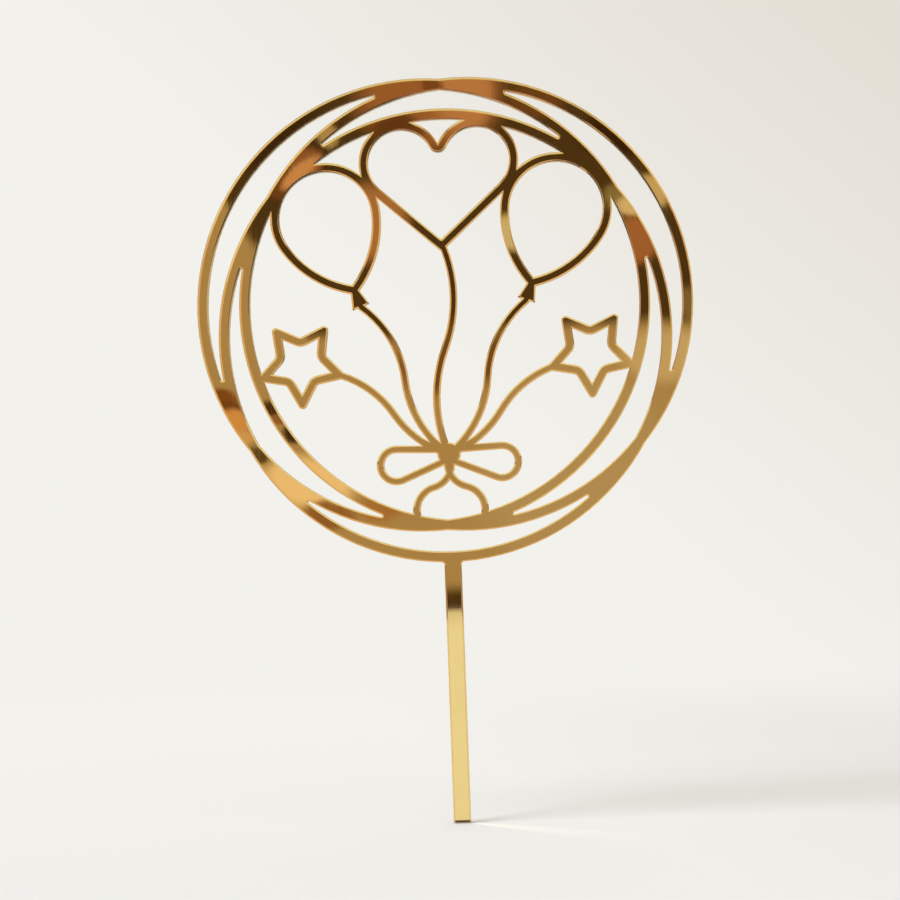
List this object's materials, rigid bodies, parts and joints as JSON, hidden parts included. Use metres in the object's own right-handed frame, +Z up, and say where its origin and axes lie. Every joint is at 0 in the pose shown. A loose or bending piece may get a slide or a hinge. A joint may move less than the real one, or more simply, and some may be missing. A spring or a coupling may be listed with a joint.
{
  "type": "cake topper",
  "caption": "Flat cake topper cut from two-sided gold mirror acrylic: overlapping round rings on a push-in stick, framing an openwork bunch of balloons.",
  "frame": {"origin": "middle of the stick's lower end, halfway through the sheet", "axes": "+Z up along the stick, +X to the viewer's right, +Y from the front to the back"},
  "size_m": [0.1202, 0.002, 0.1801],
  "materials": {
    "gold_acrylic": "clear gold-tinted acrylic, polished face, laser-cut edges",
    "mirror_layer": "bright mirror, seen through the gold acrylic",
    "bond": "paint and glue between the two mirror layers, seen at the cut edge alone"
  },
  "bodies": {
    "root": {"front_sheet": "gold_acrylic", "front_film": "mirror_layer", "bond_layer": "bond", "back_film": "mirror_layer", "back_sheet": "gold_acrylic"}
  },
  "joints": []
}
